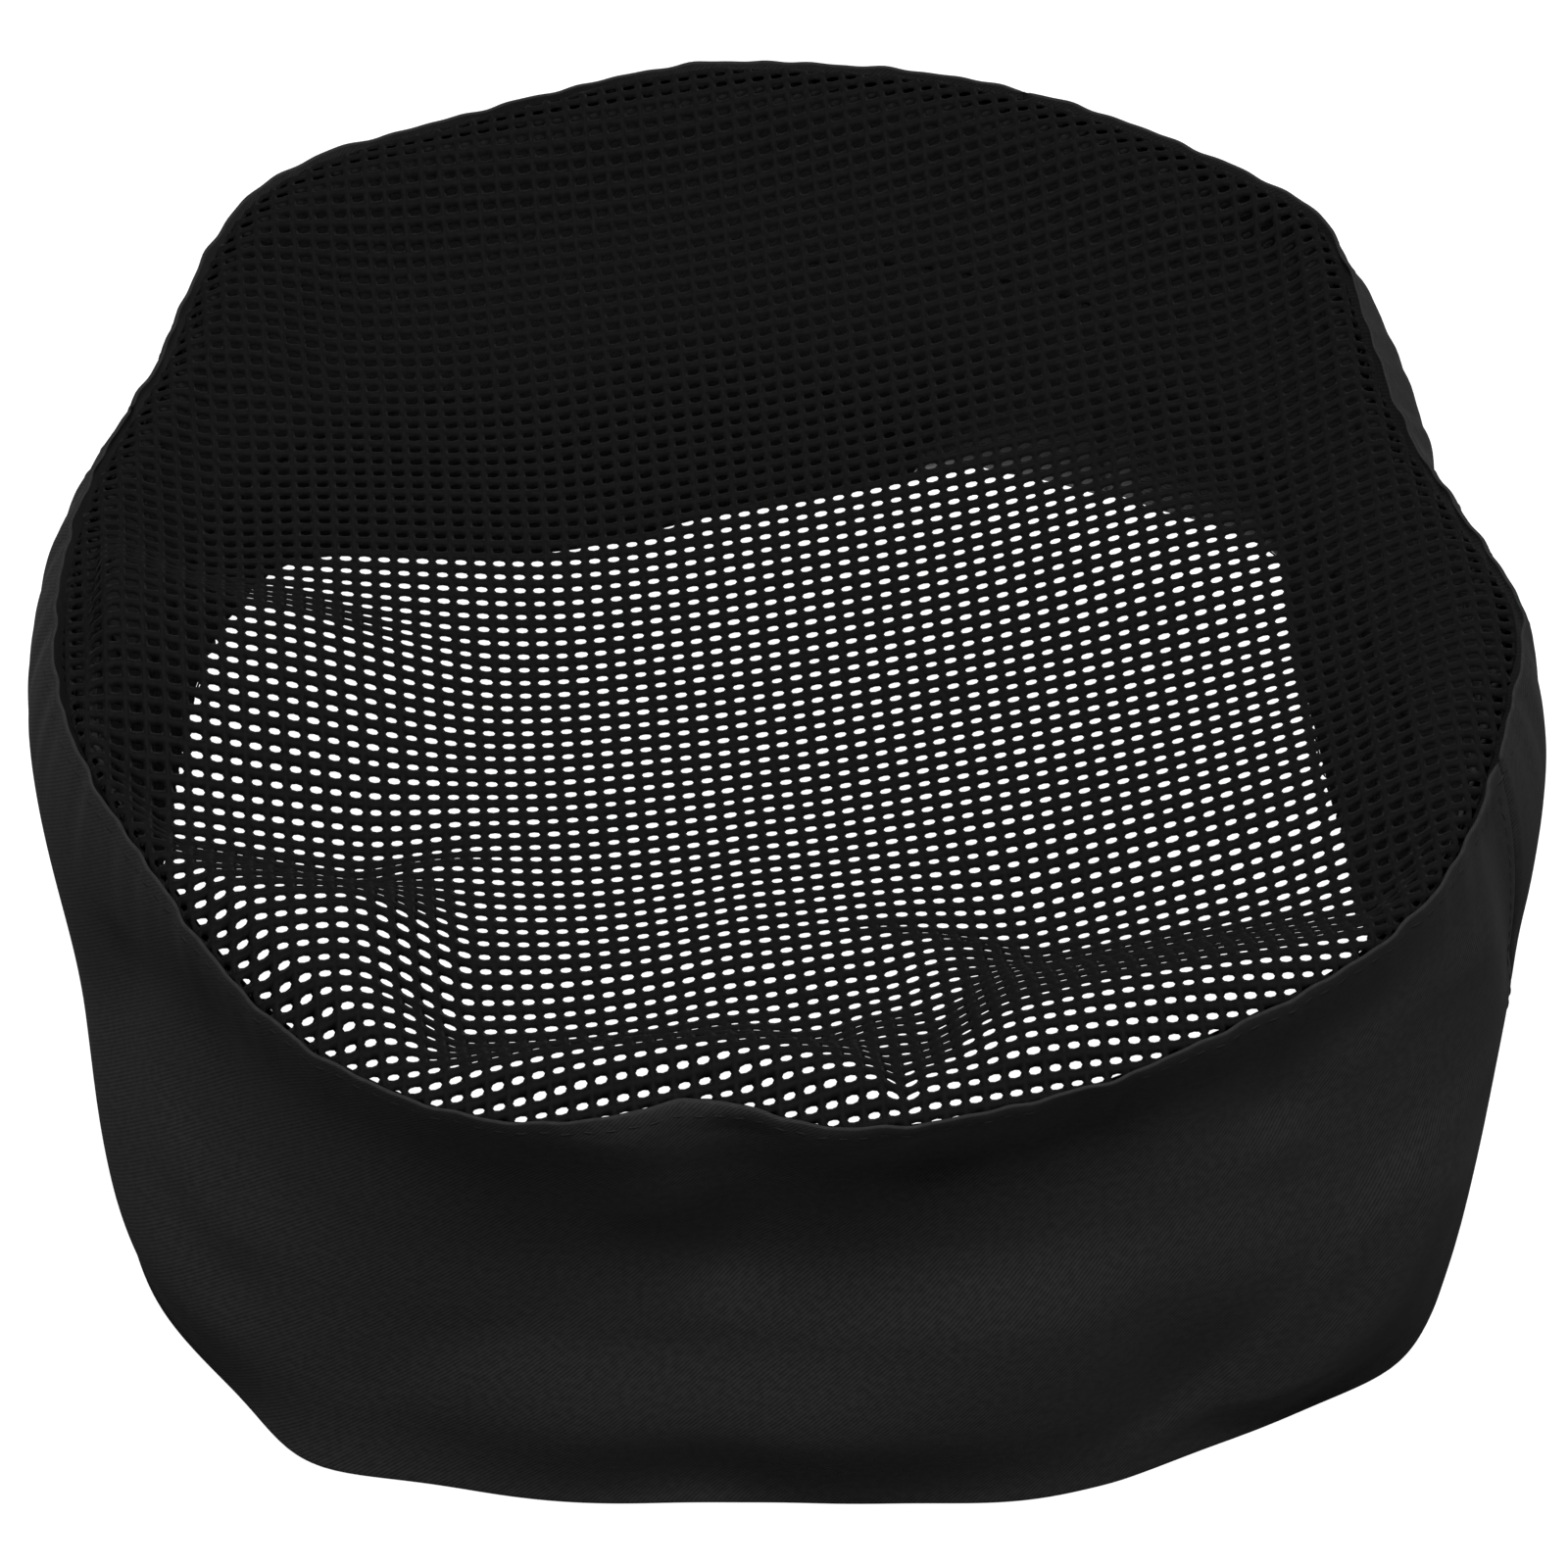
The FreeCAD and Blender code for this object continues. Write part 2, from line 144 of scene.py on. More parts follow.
# Where the crown seam leaves its ring: azimuth, half width in degrees, mm out, mm up.
SEAM_DENTS = [
    (284, 5.0, -4.0, 0.8),  # the pushed-in middle of the front
    (37, 13.0, 0.0, -4.0),  # the sagging right of the back
    (180, 12.0, 0.0, -1.5),
    (305, 9.0, 0.5, -0.5),
    (262, 8.0, 0.0, -0.6),
]
# Where the hem lifts off the table: azimuth, half width in degrees, mm up.
HEM_LIFTS = [(74, 16.0, 6.0), (96, 8.0, 2.0)]


def seam_height(a):
    return SEAM_HEIGHT + sum(up * bell(turn_from(a, c), w) for c, w, out, up in SEAM_DENTS)


def hem_height(a):
    return sum(up * bell(turn_from(a, c), w) for c, w, up in HEM_LIFTS)


def seam_radius(a):
    return RINGS[3](a) + sum(out * bell(turn_from(a, c), w) for c, w, out, up in SEAM_DENTS)


# How far the front of the band swells out or sinks between its rings: the height in mm, then
# (azimuth, mm out). Low down it stands forwards of the hem; above, it hangs over a long hollow.
RELIEF = {
    18: [(220, 0), (230, 4.5), (240, 7), (250, 3.5), (260, 3.5), (270, 6), (280, 8.5), (290, 9.5),
         (300, 8.5), (310, 6.5), (320, 4), (330, 2), (340, 1), (350, 0)],
    36: [(220, 0), (230, 4), (240, 4.5), (250, 2.5), (260, 1), (270, 1.5), (280, 1), (290, 2),
         (300, 4), (310, 5), (320, 3.5), (330, 1.5), (340, 1), (350, 0)],
    54: [(220, 0), (230, -2), (240, -2.5), (250, -1.5), (260, -2), (270, -5), (280, -7.5),
         (290, -8), (300, -6), (310, -4.5), (320, -4), (330, -3), (340, -1), (350, 0)],
    72: [(220, 0), (230, -3.5), (240, -3.5), (250, -3.5), (260, -4), (270, -6), (280, -7.5),
         (290, -8), (300, -8.5), (310, -8), (320, -6.5), (330, -5), (340, -3), (350, 0)],
}  # fmt: skip
# Folds in the band: (azimuth, height) points along each, mm high, mm wide.
BAND_FOLDS = [
    ([(286.5, 92), (286.5, 66), (285.5, 50)], -2.0, 5.0),  # below the pushed-in seam
    ([(330, 8), (338, 20), (343, 34)], 3.0, 7.0),  # the fold across the right of the front
    ([(320, 34), (322, 18)], -1.5, 7.0),
    ([(317, 2), (325, 12), (332, 28), (337, 38), (343, 45), (352, 43)], 0.5, 2.5),
    ([(331, 58), (337, 65), (345, 70), (352, 67)], 0.6, 3.5),
    ([(330, 66), (334, 62)], -0.8, 4.0),
    ([(229, 62), (240, 68)], -1.6, 6.0),
    ([(228, 62), (235, 55), (243, 42)], -0.8, 4.0),
    ([(228, 50), (236, 36), (244, 28)], -2.0, 6.0),
    ([(257, 20), (263, 30), (270, 38)], -0.5, 4.0),
    ([(301, 78), (302, 72)], -1.0, 4.5),
    ([(313, 88), (314, 74)], -0.5, 4.0),
    ([(277, 84), (278, 64)], 0.6, 4.0),
    ([(356, 84), (359, 52)], -1.3, 3.5),
    ([(62, 80), (43, 77)], 1.7, 5.0),  # the shoulder that shows outside the seam
    ([(20, 70), (32, 20)], -1.4, 9.0),
    ([(140, 70), (128, 30)], -1.2, 8.0),
    ([(176, 80), (183, 30)], -1.1, 7.0),
]

def segment_distance(x, y, p, q):
    """Distance from points to a segment."""
    dx, dy = q[0] - p[0], q[1] - p[1]
    along = np.clip(((x - p[0]) * dx + (y - p[1]) * dy) / (dx * dx + dy * dy), 0, 1)
    return np.hypot(x - p[0] - along * dx, y - p[1] - along * dy)


def near_path(x, y, path):
    """Distance from points to a polyline."""
    return np.min([segment_distance(x, y, p, q) for p, q in zip(path, path[1:])], axis=0)


def folds(a, z):
    """How far the folds in BAND_FOLDS stand out."""
    total = 0.0
    for path, high, wide in BAND_FOLDS:
        middle = path[len(path) // 2][0]
        x = turn_from(a, middle) * FOLD_GIRTH
        line = [((c - middle) * FOLD_GIRTH, h) for c, h in path]
        total = total + high * bell(near_path(x, z, line), wide)
    return total


RELIEF_RINGS = [ring(pairs, softness=4.0) for pairs in RELIEF.values()]
RELIEF_HEIGHTS = [0, *RELIEF, SEAM_HEIGHT]


def relief(a, z):
    """The front's swell and hollow, by a smooth curve through the heights in RELIEF."""
    values = [0 * a, *(values_at(a) for values_at in RELIEF_RINGS), 0 * a]
    heights = RELIEF_HEIGHTS
    last = len(heights) - 1
    slopes = []
    for i in range(last + 1):
        low, high = max(i - 1, 0), min(i + 1, last)
        slopes.append((values[high] - values[low]) / (heights[high] - heights[low]))
    total = 0.0
    for i in range(last):
        tall = heights[i + 1] - heights[i]
        k = (z - heights[i]) / tall
        here = (k >= 0) & ((k < 1) | (i == last - 1))
        k = np.clip(k, 0, 1)
        curve = (
            (2 * k**3 - 3 * k**2 + 1) * values[i]
            + (k**3 - 2 * k**2 + k) * tall * slopes[i]
            + (3 * k**2 - 2 * k**3) * values[i + 1]
            + (k**3 - k**2) * tall * slopes[i + 1]
        )
        total = total + np.where(here, curve, 0.0)
    return total


def ripple(a, z, seed, strength):
    """Small seeded unevenness of hanging cloth: nine slanting waves, strength mm together."""
    waves = np.random.default_rng(seed)
    total = 0.0
    for _ in range(9):
        turns = int(waves.integers(3, 19))
        climb = waves.uniform(-0.09, 0.09)
        total = total + np.sin(np.radians(turns * a) + climb * z + waves.uniform(0, 6.28))
    return strength * total / 3.0


def puckers(a, t):
    """The band gathers a little just under the crown seam."""
    wave = np.sin(np.radians(47 * a)) + np.sin(np.radians(71 * a) + 1.0)
    wave = wave + 0.7 * np.sin(np.radians(113 * a) + 2.0)
    return 0.13 * wave * np.clip((t - 0.72) / 0.22, 0, 1) ** 1.5


def ring_blend(a, t):
    """The band's radius between its rings, by a cubic through the four heights."""
    values = [RINGS[0](a), RINGS[1](a), RINGS[2](a), seam_radius(a)]
    total = 0.0
    for i, value in enumerate(values):
        weight = 1.0
        for j, height in enumerate(RING_HEIGHTS):
            if j != i:
                weight = weight * (t - height) / (RING_HEIGHTS[i] - height)
        total = total + value * weight
    return total


def band(a, z, out=0.0):
    """Points on the band's outer face at azimuths and heights, moved outwards."""
    low, high = hem_height(a), seam_height(a)
    t = np.clip((z - low) / (high - low), 0.0, 1.0)
    loose = np.clip(t / 0.12, 0.25, 1) * np.clip((1 - t) / 0.06, 0, 1)
    r = ring_blend(a, t) + relief(a, np.clip(z, 0, SEAM_HEIGHT))
    r = r + loose * (folds(a, z) + ripple(a, z, seed=7, strength=0.22)) + puckers(a, t)
    r = r + out
    a = np.radians(a)
    return np.stack([r * np.cos(a), r * np.sin(a), z + 0 * r], axis=-1)


# ---------------------------------------------------------------- making meshes
def mesh(name, points, faces, material, uv, body="cap", nodes=()):
    """A smooth mesh piece from points and cloth coordinates in mm, riding on one CAD body."""
    data = bpy.data.meshes.new(name)
    data.from_pydata((np.asarray(points).reshape(-1, 3) * MM).tolist(), [], faces)
    layer = data.uv_layers.new(name="cloth")
    loops = np.empty(len(data.loops), int)
    data.loops.foreach_get("vertex_index", loops)
    layer.data.foreach_set("uv", np.asarray(uv, float).reshape(-1, 2)[loops].ravel())
    data.polygons.foreach_set("use_smooth", [True] * len(data.polygons))
    data.materials.append(material)
    data.update()
    piece = bpy.data.objects.new(name, data)
    bpy.context.scene.collection.objects.link(piece)
    if body:
        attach(piece, body)
    if nodes:
        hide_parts(*nodes)
    return piece


def grid_faces(rows, columns, close_rows=False, close_columns=False, start=0):
    """Quads over a grid of points stored row by row."""
    faces = []
    for i in range(rows if close_rows else rows - 1):
        for j in range(columns if close_columns else columns - 1):
            i2, j2 = (i + 1) % rows, (j + 1) % columns
            faces.append(
                (
                    start + i * columns + j,
                    start + i * columns + j2,
                    start + i2 * columns + j2,
                    start + i2 * columns + j,
                )
            )
    return faces


def tube_faces(count, sides, start=0):
    """Quads round a run of rings, with a fan of one face closing each end."""
    faces = grid_faces(count, sides, close_columns=True, start=start)
    faces.append(tuple(start + k for k in range(sides))[::-1])
    faces.append(tuple(start + (count - 1) * sides + k for k in range(sides)))
    return faces


# ---------------------------------------------------------------- materials
WAVES_PER_UNIT = 20.0 / (2 * math.pi)  # of the wave texture at a scale of 1


class Look:
    """A procedural material, built up from a Principled shader."""

    def __init__(self, name, colour, rough=0.85, sheen=0.0, specular=0.25):
        self.material = bpy.data.materials.new(name)
        self.material.use_nodes = True
        self.tree = self.material.node_tree
        self.shader = self.tree.nodes["Principled BSDF"]
        self.shader.inputs["Base Color"].default_value = (*colour, 1)
        self.shader.inputs["Roughness"].default_value = rough
        self.shader.inputs["Specular IOR Level"].default_value = specular
        self.shader.inputs["Sheen Weight"].default_value = sheen
        self.shader.inputs["Sheen Roughness"].default_value = 0.45
        self.normal = None

    def node(self, kind, **settings):
        node = self.tree.nodes.new(kind)
        for name, value in settings.items():
            setattr(node, name, value)
        return node

    def join(self, a, b):
        self.tree.links.new(a, b)

    def place(self, turn=0.0, stretch=(1, 1, 1)):
        """Cloth coordinates, turned by degrees and stretched."""
        where = self.node("ShaderNodeTexCoord")
        mapping = self.node("ShaderNodeMapping")
        mapping.inputs["Rotation"].default_value = (0, 0, math.radians(turn))
        mapping.inputs["Scale"].default_value = stretch
        self.join(where.outputs["UV"], mapping.inputs["Vector"])
        return mapping.outputs["Vector"]

    def bump(self, height, distance, strength=1.0):
        """Relief of distance mm from a texture, on top of any relief so far."""
        bump = self.node("ShaderNodeBump")
        bump.inputs["Distance"].default_value = distance * MM
        bump.inputs["Strength"].default_value = strength
        self.join(height, bump.inputs["Height"])
        if self.normal is not None:
            self.join(self.normal, bump.inputs["Normal"])
        self.normal = bump.outputs["Normal"]
        self.join(self.normal, self.shader.inputs["Normal"])

    def lines(self, pitch, turn=0.0, wander=0.0):
        """Evenly spaced ridges, pitch mm apart."""
        wave = self.node("ShaderNodeTexWave", wave_type="BANDS", bands_direction="X")
        wave.inputs["Scale"].default_value = 1.0 / pitch / WAVES_PER_UNIT
        wave.inputs["Distortion"].default_value = wander
        wave.inputs["Detail"].default_value = 2.0
        self.join(self.place(turn), wave.inputs["Vector"])
        return wave.outputs["Fac"]

    def mixed(self, a, b, share):
        """Two textures together, share of them from the first."""
        mix = self.node("ShaderNodeMix", data_type="FLOAT")
        mix.inputs["Factor"].default_value = share
        ends = [socket for socket in mix.inputs if socket.name in "AB"]
        self.join(b, ends[0])
        self.join(a, ends[1])
        return mix.outputs[0]

    def speckle(self, scale, detail=3.0, stretch=(1, 1, 1)):
        """Random unevenness, scale patches to a mm."""
        noise = self.node("ShaderNodeTexNoise")
        noise.inputs["Scale"].default_value = scale
        noise.inputs["Detail"].default_value = detail
        self.join(self.place(0.0, stretch), noise.inputs["Vector"])
        return noise.outputs["Fac"]

    def tint(self, factor, dark, light):
        """Colours the cloth between two shades by a texture."""
        ramp = self.node("ShaderNodeMapRange")
        ramp.inputs["From Min"].default_value = 0.3
        ramp.inputs["From Max"].default_value = 0.7
        mix = self.node("ShaderNodeMix", data_type="RGBA")
        ends = [socket for socket in mix.inputs if socket.type == "RGBA"]
        ends[0].default_value = (*dark, 1)
        ends[1].default_value = (*light, 1)
        result = [socket for socket in mix.outputs if socket.type == "RGBA"][0]
        self.join(factor, ramp.inputs["Value"])
        self.join(ramp.outputs["Result"], mix.inputs["Factor"])
        self.join(result, self.shader.inputs["Base Color"])


def grey(level):
    return (level, level, level)


def twill_look():
    look = Look("black twill", grey(0.012), rough=0.85, sheen=0.015, specular=0.08)
    diagonal = look.lines(TWILL_PITCH, turn=42, wander=0.3)
    look.bump(diagonal, 0.06, 0.3)
    look.bump(look.speckle(2.2, detail=4.0), 0.05, 0.2)
    # The cloth's colour follows the twill's diagonal ridges, which is painted light and shade on
    # the weave, mixed with random heather in the yarn.
    twill_shade_and_heather = look.mixed(diagonal, look.speckle(0.9, detail=7.0), 0.35)
    look.tint(twill_shade_and_heather, grey(0.0105), grey(0.0235))
    return look.material


def net_look():
    look = Look("black knitted net", grey(0.0045), rough=0.8, sheen=0.01, specular=0.04)
    look.shader.inputs["Alpha"].default_value = 0.988  # a little light passes through the yarn
    look.bump(look.lines(0.42, turn=0.0, wander=1.2), 0.06, 0.35)
    look.bump(look.speckle(3.0), 0.06, 0.3)
    look.tint(look.speckle(1.1, detail=4.0), grey(0.0029), grey(0.0051))
    return look.material


def thread_look():
    look = Look("black sewing thread", grey(0.009), rough=0.8, sheen=0.03, specular=0.10)
    look.bump(look.lines(0.35, turn=35.0), 0.05, 0.5)
    look.tint(look.speckle(2.0), grey(0.010), grey(0.015))
    return look.material


def towelling_look():
    look = Look("black towelling", grey(0.006), rough=0.95, sheen=0.03, specular=0.08)
    look.bump(look.speckle(1.6, detail=5.0), 0.5, 0.9)
    look.bump(look.lines(1.1, turn=90.0, wander=2.5), 0.2, 0.5)
    look.tint(look.speckle(0.9, detail=5.0), grey(0.009), grey(0.015))
    return look.material


def pile_look():
    look = Look("black loop pile", grey(0.011), rough=0.95, sheen=0.4, specular=0.1)
    look.bump(look.speckle(3.4, detail=6.0), 0.5, 1.0)
    look.tint(look.speckle(1.4, detail=6.0), grey(0.007), grey(0.018))
    return look.material


def hook_look():
    look = Look("black hook tape", grey(0.013), rough=0.45, sheen=0.0, specular=0.5)
    look.bump(look.lines(1.1, turn=0.0), 0.3, 1.0)
    look.bump(look.lines(0.9, turn=90.0), 0.3, 1.0)
    look.tint(look.speckle(1.0), grey(0.010), grey(0.018))
    return look.material


def tape_look():
    look = Look("black bias tape", grey(0.006), rough=0.8, sheen=0.02, specular=0.1)
    look.bump(look.lines(0.5, turn=45.0), 0.06, 0.7)
    look.bump(look.lines(0.5, turn=-45.0), 0.06, 0.7)
    look.tint(look.speckle(0.8), grey(0.009), grey(0.013))
    return look.material


def satin_look():
    look = Look("black satin label", grey(0.006), rough=0.6, sheen=0.02, specular=0.15)
    look.bump(look.lines(0.3, turn=90.0), 0.02, 0.6)
    look.tint(look.speckle(0.6, stretch=(0.2, 3, 1)), grey(0.010), grey(0.014))
    return look.material


TWILL, NET, THREAD = twill_look(), net_look(), thread_look()
TOWELLING, PILE, HOOKS = towelling_look(), pile_look(), hook_look()
TAPE, SATIN = tape_look(), satin_look()


# ---------------------------------------------------------------- the band
def cloth_section():
    """The doubled cloth's cross-section, from the hem up outside, over and down inside.

    Rows of: fraction of the band's height, mm added to that, mm out, mm of cloth so far.
    """
    up = [(t, 0.0, 0.0) for t in np.linspace(0, 1, 96)]
    down = [(t, 0.0, -CLOTH) for t in np.linspace(1, 0, 40)]
    arc = np.radians(np.linspace(0, 180, 9)[1:-1])
    over = [(1.0, ROLL * math.sin(b), ROLL * math.cos(b) - ROLL) for b in arc]
    under = [(0.0, -ROLL * math.sin(b), -ROLL * math.cos(b) - ROLL) for b in arc]
    section = np.array(up + over + down + under)
    steps = np.hypot(
        np.diff(section[:, 0]) * SEAM_HEIGHT + np.diff(section[:, 1]), np.diff(section[:, 2])
    )
    return np.column_stack([section, np.concatenate([[0], np.cumsum(steps)])])


def band_panel(name, first, last, node):
    """One panel of doubled twill: outer face, crown-seam roll, inner face and hem fold."""
    columns = int((last - first) * 2.2) + 1
    a = np.linspace(first, last, columns)
    end = np.minimum(a - first, last - a) * FOLD_GIRTH
    turned = 0.7 * (1 - np.sqrt(1 - np.clip(1 - end / TURN_IN, 0, 1) ** 2))
    low, high = hem_height(a) + ROLL, seam_height(a) - ROLL * (1 - PRESSED)
    girth = np.radians(a) * MEAN_RADIUS
    rows, uv = [], []
    for t, lift, out, run in cloth_section():
        thin = 1 - PRESSED * max(0.0, (t - PRESSED_FROM) / (1 - PRESSED_FROM))
        inwards = turned * (1 + 2 * out / CLOTH) * 0.8
        rows.append(band(a, low + t * (high - low) + lift * thin, out * thin - inwards))
        uv.append(np.stack([girth, run + 0 * a], axis=-1))
    count = len(rows)
    faces = grid_faces(count, columns, close_rows=True)
    faces.append(tuple(i * columns for i in range(count)))
    faces.append(tuple(i * columns + columns - 1 for i in range(count))[::-1])
    mesh(name, np.stack(rows), faces, TWILL, np.stack(uv), nodes=(node,))


band_panel("twill_band_front", 180.0, 360.0, "front_band")
band_panel("twill_band_back_left", 89.97, 180.02, "back_band_left")
band_panel("twill_band_back_right", -0.02, 90.03, "back_band_right")


# ---------------------------------------------------------------- the crown
GRAIN_X, GRAIN_Y = math.cos(math.radians(GRAIN)), math.sin(math.radians(GRAIN))


def crown_axes(x, y):
    """Plan coordinates turned to lie along and across the net's rows."""
    return x * GRAIN_X + y * GRAIN_Y, -x * GRAIN_Y + y * GRAIN_X


# In front of a billow's crest the net stands up level with the seam; behind it, it hangs.
# (u, v) along the crest, mm above the seam, mm it takes to fall behind, and at either end.
BILLOWS = [
    ([(-48, -99), (-40, -93), (-31, -90), (-12, -89), (0, -89), (8, -92), (13, -98)],
     2.2, 12, 6, 4),
    ([(19, -101), (26, -94), (34, -84), (44, -79), (59, -78), (77, -76)], 1.5, 19, 4, 12),
    ([(-95, -56), (-82, -60), (-72, -62), (-60, -64)], 3.0, 17, 9, 19),
]  # fmt: skip
# Ridges and valleys: (u, v) along each, mm high, mm wide behind and mm wide in front, and the
# mm of u over which it comes up from nothing at its left and right.
CREASES = [
    ([(-96, -2), (-76, -5), (-58, -7), (-38, -9)], 5.6, 5.0, 14.0, 1, 34),
    ([(14, -66), (21, -81), (28, -98)], -1.2, 3.5, 3.5, 0, 0),
    ([(-42, -77), (-4, -73), (4, -75)], -3.6, 7.0, 4.5, 0, 0),
    ([(36, -56), (60, -54), (80, -55)], -6.0, 11.0, 6.5, 0, 0),
    ([(-90, -40), (-60, -43)], -5.5, 10.0, 6.5, 0, 0),
    ([(71, 84), (69, 60), (71, 30)], -3.5, 8.0, 8.0, 0, 0),
    ([(-80, 34), (-82, 20), (-84, 6)], -2.6, 6.0, 6.0, 0, 0),
    ([(-40, 10), (10, 22), (50, 12)], 0.8, 14.0, 14.0, 0, 0),
    ([(-20, -45), (30, -38)], -0.8, 14.0, 14.0, 0, 0),
]
# How far the net puffs up just inside the seam, by azimuth.
PUFF = ring([(0, 2.4), (35, 3.2), (60, 2.8), (90, 1.6), (135, 2.2), (175, 2.8), (205, 1.6),
             (222, 0), (330, 0), (345, 1.2)], softness=8.0)  # fmt: skip


def rise(x):
    """Goes smoothly from 0 to 1 as x does."""
    x = np.clip(x, 0, 1)
    return x * x * (3 - 2 * x)


def soft_line(points, softness=2.5):
    """v along a crest as a function of u, with its corners rounded, and its slope."""
    u = np.arange(-120.0, 121.0)
    v = np.interp(u, *np.transpose(points))
    margin = 12
    kernel = bell(np.arange(-margin, margin + 1.0), softness)
    padded = np.pad(v, margin, mode="edge")
    v = np.convolve(padded, kernel / kernel.sum(), mode="valid")
    slope = np.gradient(v)
    return lambda x: (np.interp(x, u, v), np.interp(x, u, slope))


def billow(u, v, points, fall, left, right):
    """1 in front of the crest, going to 0 behind it and past its ends."""
    crest, slope = soft_line(points)(u)
    behind = (v - crest) / np.hypot(1, slope)
    ends = rise((u - points[0][0]) / left + 1) * rise((points[-1][0] - u) / right + 1)
    return rise(1 - behind / fall) * ends


def crown_height(x, y, a, rim):
    """Height of the hanging net over plan points; rim is its edge radius at those azimuths."""
    reach = np.hypot(x, y) / rim
    inwards = rim * (1 - reach)
    u, v = crown_axes(x, y)
    z = SEAM_HEIGHT + (seam_height(a) - SEAM_HEIGHT) * np.clip(reach, 0, 1) ** 5
    hanging, lift = 1.0, 0.0
    for points, up, fall, left, right in BILLOWS:
        stands = billow(u, v, points, fall, left, right)
        hanging = hanging * (1 - stands)
        lift = lift + up * stands
    z = z - CROWN_SAG * np.clip(1 - reach**2, 0, None) * hanging + lift * rise(inwards / 6)
    creased = 0.25 * (np.sin(u / 9.0 + 1.3) * np.sin(v / 11.0 + 0.4) + np.sin(u / 17.0 - v / 13.0))
    for path, high, behind, front, left, right in CREASES:
        ahead = rise((np.interp(u, *np.transpose(sorted(path))) - v) / 5 + 0.5)
        wide = behind + (front - behind) * ahead
        fade = 1.0
        if left and right:
            fade = rise((u - path[0][0]) / left) * rise((path[-1][0] - u) / right)
        creased = creased + fade * high * bell(near_path(u, v, path), wide)
    puff = PUFF(a) * np.sin(np.clip(inwards / 6, 0, 1) * math.pi / 2) * rise((24 - inwards) / 16)
    sunk = NET_SINK * (1 - rise((np.abs(turn_from(a, FRONT)) - 70) / 30)) * rise(1 - inwards / 12)
    return z + creased * rise(inwards / 7) + puff - sunk


def band_lean(depth=8.0):
    """Degrees that the band leans inwards just under the seam, at every degree round it."""
    a = np.arange(0.0, 361.0)
    below = band(a, SEAM_HEIGHT - depth + 0 * a)
    return np.degrees(np.arctan2(seam_radius(a) - np.hypot(below[:, 0], below[:, 1]), depth))


LEAN = band_lean()


def allowance_turn(a):
    """How far the net turns over at its edge: down along the band in front, more behind."""
    behind = (np.abs(turn_from(a, FRONT)) - 50.0) / 40.0
    lean = np.interp(np.mod(a, 360.0), np.arange(361.0), LEAN)
    return 97.0 + np.maximum(25.0 * rise(behind), np.clip(1.15 * lean, 0, 50))


def crown(x, y, out=0.0):
    """The net's surface over its flat pattern, with the allowance turned in at the rim."""
    s = np.hypot(x, y)
    a = np.degrees(np.arctan2(y, x))
    rim = seam_radius(a) - CROWN_INSET - EDGE_ROLL
    inside = np.minimum(s, rim)
    over = np.clip(s - rim, 0, None)
    turn = np.radians(allowance_turn(a))
    bend = np.minimum(over / EDGE_ROLL, turn)
    straight = np.clip(over - EDGE_ROLL * turn, 0, None)
    shrink = inside / np.maximum(s, 1e-6)
    z = crown_height(x * shrink, y * shrink, a, rim)
    r = inside + EDGE_ROLL * np.sin(bend) + straight * np.cos(turn)
    z = z - EDGE_ROLL * (1 - np.cos(bend)) - straight * np.sin(turn)
    r = r + out * np.sin(bend)
    z = z + out * np.cos(bend)
    a = np.radians(a)
    return np.stack([r * np.cos(a), r * np.sin(a), z], axis=-1)


def row_drift(u, v):
    """How far the knitted rows run off square across the net; they level out on the left."""
    left = -35 - u
    left = (left + np.hypot(left, 8)) / 2
    return 0.21 * u + 0.2 * left * bell(v + 20, 45) + 0.6 * np.sin(u / 31.0 + 0.5)


def net_pattern(i, j):
    """Flat position of a place in the net, counted in columns and rows."""
    u = i * COLUMN_PITCH
    v = j * ROW_PITCH
    u = u - 0.075 * v + 0.35 * np.sin(v / 23.0)
    v = v + row_drift(u, v)
    return u * GRAIN_X - v * GRAIN_Y, u * GRAIN_Y + v * GRAIN_X


def slack(x, y):
    """1 where the net falls steeply away behind a crest and its holes close up, else 0."""
    ahead = crown(x + 0.5 * GRAIN_Y, y - 0.5 * GRAIN_X)[:, 2]
    behind = crown(x - 0.5 * GRAIN_Y, y + 0.5 * GRAIN_X)[:, 2]
    gentle, steep = 0.16, 0.50  # the slopes at which the holes start and end closing
    return rise((ahead - behind - gentle) / (steep - gentle))


